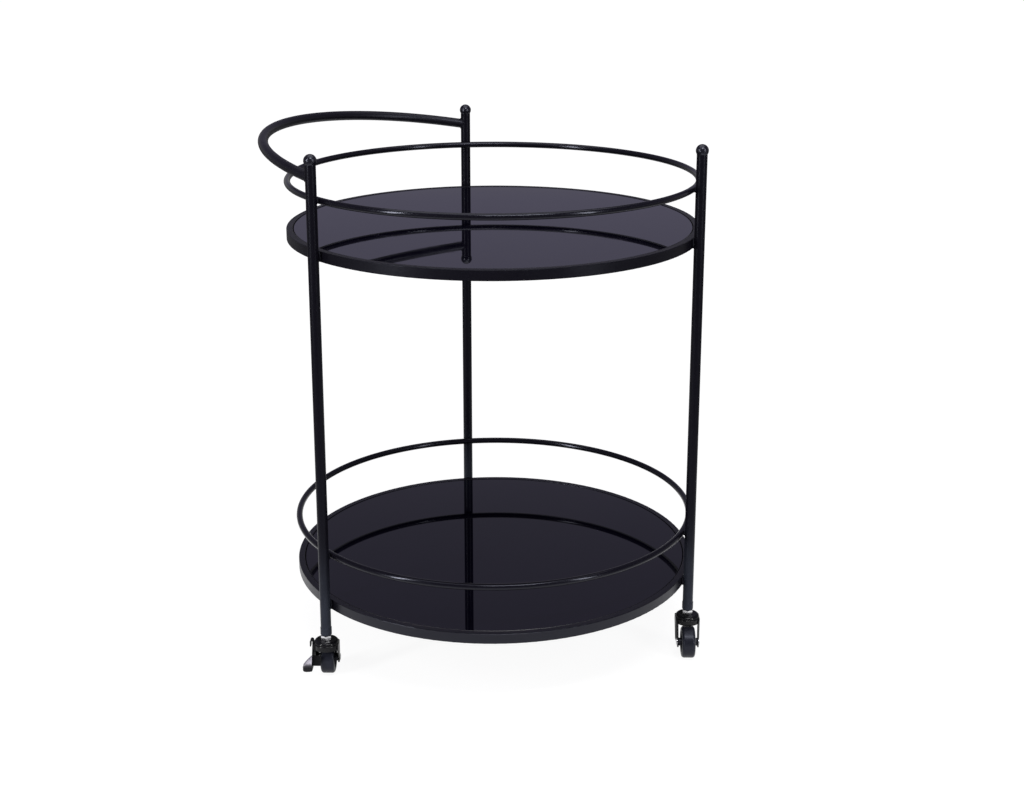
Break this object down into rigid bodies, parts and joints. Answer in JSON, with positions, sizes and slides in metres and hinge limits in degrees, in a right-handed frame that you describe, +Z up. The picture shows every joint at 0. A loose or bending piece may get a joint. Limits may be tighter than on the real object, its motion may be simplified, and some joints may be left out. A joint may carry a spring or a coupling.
{
  "type": "serving trolley",
  "caption": "Round two-tier serving trolley with dark glass trays in steel rings, rod galleries, a bow handle and swivel casters.",
  "frame": {"origin": "on the floor, under the middle of the trolley's outline box", "axes": "+Z up, +X from the handle towards the leg opposite it, +Y towards the left leg"},
  "size_m": [0.5779, 0.517, 0.6591],
  "materials": {
    "frame_black": "satin powder coat",
    "black_glass": "polished",
    "clear_pad": "clear",
    "caster_black": "gloss black plating",
    "zinc": "bright zinc",
    "hub_plastic": "moulded",
    "tyre_rubber": "smooth"
  },
  "bodies": {
    "frame": {"leg_nose": "frame_black", "finial_nose": "frame_black", "stud_socket_nose": "frame_black", "caster_stud_nose": "zinc", "swivel_cup_nose": "caster_black", "leg_left": "frame_black", "finial_left": "frame_black", "stud_socket_left": "frame_black", "caster_stud_left": "zinc", "swivel_cup_left": "caster_black", "leg_right": "frame_black", "finial_right": "frame_black", "stud_socket_right": "frame_black", "caster_stud_right": "zinc", "swivel_cup_right": "caster_black", "rim_upper": "frame_black", "glass_ledge_upper": "frame_black", "glass_upper": "black_glass", "glass_bumpers_upper": "clear_pad", "rail_upper": "frame_black", "rim_welds_upper": "frame_black", "rail_welds_upper": "frame_black", "rim_lower": "frame_black", "glass_ledge_lower": "frame_black", "glass_lower": "black_glass", "glass_bumpers_lower": "clear_pad", "rail_lower": "frame_black", "rim_welds_lower": "frame_black", "rail_welds_lower": "frame_black", "handle_bow": "frame_black", "handle_weld_left": "frame_black", "handle_weld_right": "frame_black"},
    "fork_nose": {"caster_fork_nose": "caster_black", "swivel_balls_nose": "zinc", "axle_nose": "zinc"},
    "wheel_nose": {"wheel_hub_nose": "hub_plastic", "tyre_nose": "tyre_rubber"},
    "fork_left": {"caster_fork_left": "caster_black", "swivel_balls_left": "zinc", "axle_left": "zinc", "brake_pin_left": "zinc"},
    "wheel_left": {"wheel_hub_left": "hub_plastic", "tyre_left": "tyre_rubber"},
    "brake_left": {"brake_lever_left": "caster_black"},
    "fork_right": {"caster_fork_right": "caster_black", "swivel_balls_right": "zinc", "axle_right": "zinc", "brake_pin_right": "zinc"},
    "wheel_right": {"wheel_hub_right": "hub_plastic", "tyre_right": "tyre_rubber"},
    "brake_right": {"brake_lever_right": "caster_black"}
  },
  "joints": [
    {"name": "caster_swivel_nose", "type": "hinge", "parent": "frame", "child": "fork_nose", "pos_m": [0.27103, 0, 0.0486], "axis": [0, 0, 1], "continuous": true},
    {"name": "wheel_spin_nose", "type": "hinge", "parent": "fork_nose", "child": "wheel_nose", "pos_m": [0.2765, -0.01503, 0.02], "axis": [0.9397, 0.342, 0], "continuous": true},
    {"name": "caster_swivel_left", "type": "hinge", "parent": "frame", "child": "fork_left", "pos_m": [-0.12677, 0.22967, 0.0486], "axis": [0, 0, 1], "continuous": true},
    {"name": "wheel_spin_left", "type": "hinge", "parent": "fork_left", "child": "wheel_left", "pos_m": [-0.14128, 0.22291, 0.02], "axis": [0.4226, -0.9063, 0], "continuous": true},
    {"name": "brake_press_left", "type": "hinge", "parent": "fork_left", "child": "brake_left", "pos_m": [-0.1304, 0.22798, 0.038], "axis": [-0.4226, 0.9063, 0], "range_deg": [0, 10]},
    {"name": "caster_swivel_right", "type": "hinge", "parent": "frame", "child": "fork_right", "pos_m": [-0.12677, -0.22967, 0.0486], "axis": [0, 0, 1], "continuous": true},
    {"name": "wheel_spin_right", "type": "hinge", "parent": "fork_right", "child": "wheel_right", "pos_m": [-0.13225, -0.21463, 0.02], "axis": [-0.9397, -0.342, 0], "continuous": true},
    {"name": "brake_press_right", "type": "hinge", "parent": "fork_right", "child": "brake_right", "pos_m": [-0.12814, -0.22591, 0.038], "axis": [0.9397, 0.342, 0], "range_deg": [0, 10]}
  ]
}
